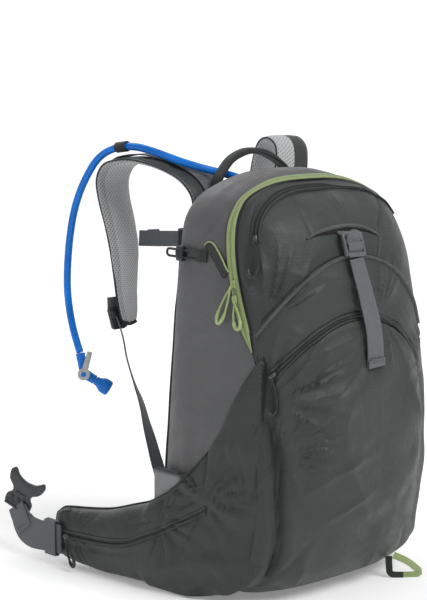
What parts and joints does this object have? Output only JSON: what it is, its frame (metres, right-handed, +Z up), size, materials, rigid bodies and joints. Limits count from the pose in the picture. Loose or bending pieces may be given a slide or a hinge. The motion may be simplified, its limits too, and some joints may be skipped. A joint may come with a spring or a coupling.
{
  "type": "hydration backpack",
  "caption": "Upright hydration daypack with a zip-open front, arched zipped pockets, padded shoulder straps, hip wings with a buckled belt, and a drinking tube with bite valve.",
  "frame": {"origin": "middle of the base, on the floor the pack stands on", "axes": "+Z up, -Y out of the pack's front, +Y towards the wearer, +X to the wearer's right"},
  "size_m": [0.4041, 0.4501, 0.5277],
  "materials": {
    "bladder": "clear film",
    "lever_grey": "moulded",
    "lime": "woven tape",
    "mesh_grey": "spacer mesh",
    "plastic": "moulded",
    "ripstop_dark": "woven ripstop",
    "ripstop_grey": "smooth woven",
    "sheet": "moulded sheet",
    "tube_blue": "translucent blue",
    "webbing": "webbing",
    "zip": "coil zip"
  },
  "bodies": {
    "pack": {"back_frame_sheet": "sheet", "back_pad_lower": "mesh_grey", "back_pad_upper": "mesh_grey", "back_panel": "mesh_grey", "base_panel": "ripstop_dark", "drink_tube": "tube_blue", "front_pocket": "ripstop_dark", "front_pocket_zip": "zip", "front_shell_lower": "ripstop_dark", "inner_hose": "tube_blue", "ladder_lock_left": "plastic", "ladder_lock_right": "plastic", "main_gusset": "ripstop_grey", "main_zip_slider_lower": "lime", "main_zip_tape": "lime", "pole_bungee": "plastic", "quick_link": "plastic", "reservoir": "bladder", "reservoir_divider": "ripstop_grey", "shoulder_strap_left": "mesh_grey", "shoulder_strap_right": "mesh_grey", "side_panel_left": "ripstop_dark", "side_panel_right": "ripstop_dark", "side_pocket_left": "ripstop_grey", "side_pocket_right": "ripstop_grey", "side_strap": "webbing", "strap_webbing_left": "webbing", "strap_webbing_right": "webbing", "tube_keeper": "webbing", "tube_port": "plastic", "valve_elbow": "tube_blue"},
    "flap": {"front_shell_upper": "ripstop_dark", "stash_panel": "ripstop_dark", "top_pocket_zip": "zip", "front_strap_buckle": "plastic"},
    "front_strap": {"front_strap": "webbing"},
    "main_zip_slider_upper": {"main_zip_slider_upper": "lime"},
    "main_zip_pull_upper": {"main_zip_pull_upper": "lime"},
    "main_zip_pull_lower": {"main_zip_pull_lower": "lime"},
    "top_pocket_slider": {"top_pocket_slider": "zip"},
    "top_pocket_pull": {"top_pocket_pull": "plastic"},
    "front_pocket_slider": {"front_pocket_slider": "zip"},
    "front_pocket_pull": {"front_pocket_pull": "plastic"},
    "hip_wing_left": {"hip_wing_left": "ripstop_dark", "belt_webbing_left": "webbing"},
    "hip_wing_right": {"hip_wing_right": "ripstop_dark", "belt_webbing_right": "webbing"},
    "wing_slider_left": {"wing_slider_left": "zip"},
    "wing_slider_right": {"wing_slider_right": "zip"},
    "belt_buckle_male": {"belt_buckle_male": "plastic"},
    "belt_buckle_female": {"belt_buckle_female": "plastic"},
    "valve_lever": {"valve_lever": "lever_grey"},
    "bite_valve": {"bite_valve": "tube_blue"},
    "haul_loop": {"haul_loop": "webbing"},
    "light_loop": {"light_loop": "lime"},
    "sternum": {"sternum_strap": "webbing", "sternum_buckle": "plastic"},
    "reservoir_cap": {"reservoir_cap": "tube_blue"},
    "quick_link_button": {"quick_link_button": "lever_grey"},
    "cord_lock": {"cord_lock": "plastic"}
  },
  "joints": [
    {"name": "flap_open", "type": "hinge", "parent": "pack", "child": "flap", "pos_m": [0, -0.11, 0.335], "axis": [1, 0, 0], "range_deg": [0, 70]},
    {"name": "front_strap_hang", "type": "hinge", "parent": "flap", "child": "front_strap", "pos_m": [-0.0125, -0.0996, 0.3955], "axis": [1, 0, 0], "range_deg": [-70, 0]},
    {"name": "main_zip_upper", "type": "slide", "parent": "pack", "child": "main_zip_slider_upper", "axis": [0.1103, 0.2167, 0.97], "range_m": [0, 0.055]},
    {"name": "main_zip_pull_upper_swing", "type": "hinge", "parent": "main_zip_slider_upper", "child": "main_zip_pull_upper", "pos_m": [-0.14373, -0.02688, 0.36383], "axis": [-0.1128, 0.9469, 0.301], "range_deg": [0, 80]},
    {"name": "main_zip_pull_lower_swing", "type": "hinge", "parent": "pack", "child": "main_zip_pull_lower", "pos_m": [-0.14244, -0.03444, 0.34704], "axis": [-0.1747, 0.9437, -0.2808], "range_deg": [0, 80]},
    {"name": "top_pocket_zip_run", "type": "hinge", "parent": "flap", "child": "top_pocket_slider", "pos_m": [-0.06585, -0.05156, 0.41121], "axis": [-0.0633, 0.9644, -0.2569], "range_deg": [0, 56]},
    {"name": "top_pocket_pull_swing", "type": "hinge", "parent": "top_pocket_slider", "child": "top_pocket_pull", "pos_m": [-0.12586, -0.05381, 0.41434], "axis": [-0.5575, 0.8302, 0], "range_deg": [0, 80]},
    {"name": "front_pocket_zip_run", "type": "hinge", "parent": "pack", "child": "front_pocket_slider", "pos_m": [-0.02014, -0.05154, 0.22836], "axis": [-0.0807, 0.8669, 0.4918], "range_deg": [0, 52]},
    {"name": "front_pocket_pull_swing", "type": "hinge", "parent": "front_pocket_slider", "child": "front_pocket_pull", "pos_m": [-0.12859, -0.08583, 0.26424], "axis": [-0.621, 0.7838, 0], "range_deg": [0, 80]},
    {"name": "hip_wing_left_bend", "type": "hinge", "parent": "pack", "child": "hip_wing_left", "pos_m": [-0.15, 0.086, 0.05], "axis": [0, 0, -1], "range_deg": [-6, 16]},
    {"name": "hip_wing_right_bend", "type": "hinge", "parent": "pack", "child": "hip_wing_right", "pos_m": [0.15, 0.086, 0.05], "axis": [0, 0, 1], "range_deg": [-6, 16]},
    {"name": "wing_zip_left_run", "type": "hinge", "parent": "hip_wing_left", "child": "wing_slider_left", "pos_m": [0.4052, 0.1958, 0.0418], "axis": [0, 0.0854, 0.9963], "range_deg": [0, 9.8]},
    {"name": "wing_zip_right_run", "type": "hinge", "parent": "hip_wing_right", "child": "wing_slider_right", "pos_m": [-0.4052, 0.1958, 0.0418], "axis": [0, -0.0854, -0.9963], "range_deg": [0, 9.8]},
    {"name": "belt_buckle_male_fold", "type": "hinge", "parent": "hip_wing_left", "child": "belt_buckle_male", "pos_m": [-0.197, 0.299, 0.0645], "axis": [0, 1, 0], "range_deg": [-45, 45]},
    {"name": "belt_buckle_female_fold", "type": "hinge", "parent": "hip_wing_right", "child": "belt_buckle_female", "pos_m": [0.197, 0.299, 0.0645], "axis": [0, 1, 0], "range_deg": [-30, 30]},
    {"name": "valve_lever_turn", "type": "hinge", "parent": "pack", "child": "valve_lever", "pos_m": [-0.12, 0.265, 0.227], "axis": [-0.6749, -0.7379, 0], "range_deg": [0, 90]},
    {"name": "bite_valve_turn", "type": "hinge", "parent": "pack", "child": "bite_valve", "pos_m": [-0.10944, 0.25534, 0.21782], "axis": [0.6211, -0.5681, -0.5399], "continuous": true},
    {"name": "haul_loop_fold", "type": "hinge", "parent": "pack", "child": "haul_loop", "pos_m": [0, 0.085, 0.4705], "axis": [1, 0, 0], "range_deg": [-6, 8], "stiffness_Nm_per_rad": 0.02},
    {"name": "light_loop_fold", "type": "hinge", "parent": "pack", "child": "light_loop", "pos_m": [0.0705, -0.0865, 0.0268], "axis": [0.7312, -0.6822, 0], "range_deg": [-60, 0]},
    {"name": "sternum_height", "type": "slide", "parent": "pack", "child": "sternum", "axis": [0, 0, 1], "range_m": [-0.02, 0.02]},
    {"name": "reservoir_cap_turn", "type": "hinge", "parent": "pack", "child": "reservoir_cap", "pos_m": [0, 0.039, 0.325], "axis": [0, -1, 0], "range_deg": [0, 90]},
    {"name": "quick_link_press", "type": "slide", "parent": "pack", "child": "quick_link_button", "axis": [0, 0, -1], "range_m": [0, 0.0015], "stiffness_N_per_m": 800},
    {"name": "cord_lock_slide", "type": "slide", "parent": "pack", "child": "cord_lock", "axis": [0.0535, 0.9986, 0], "range_m": [-0.02, 0.01]}
  ],
  "couplings": [
    {"joint": "front_strap_hang", "follows": "flap_open", "ratio": -1}
  ]
}
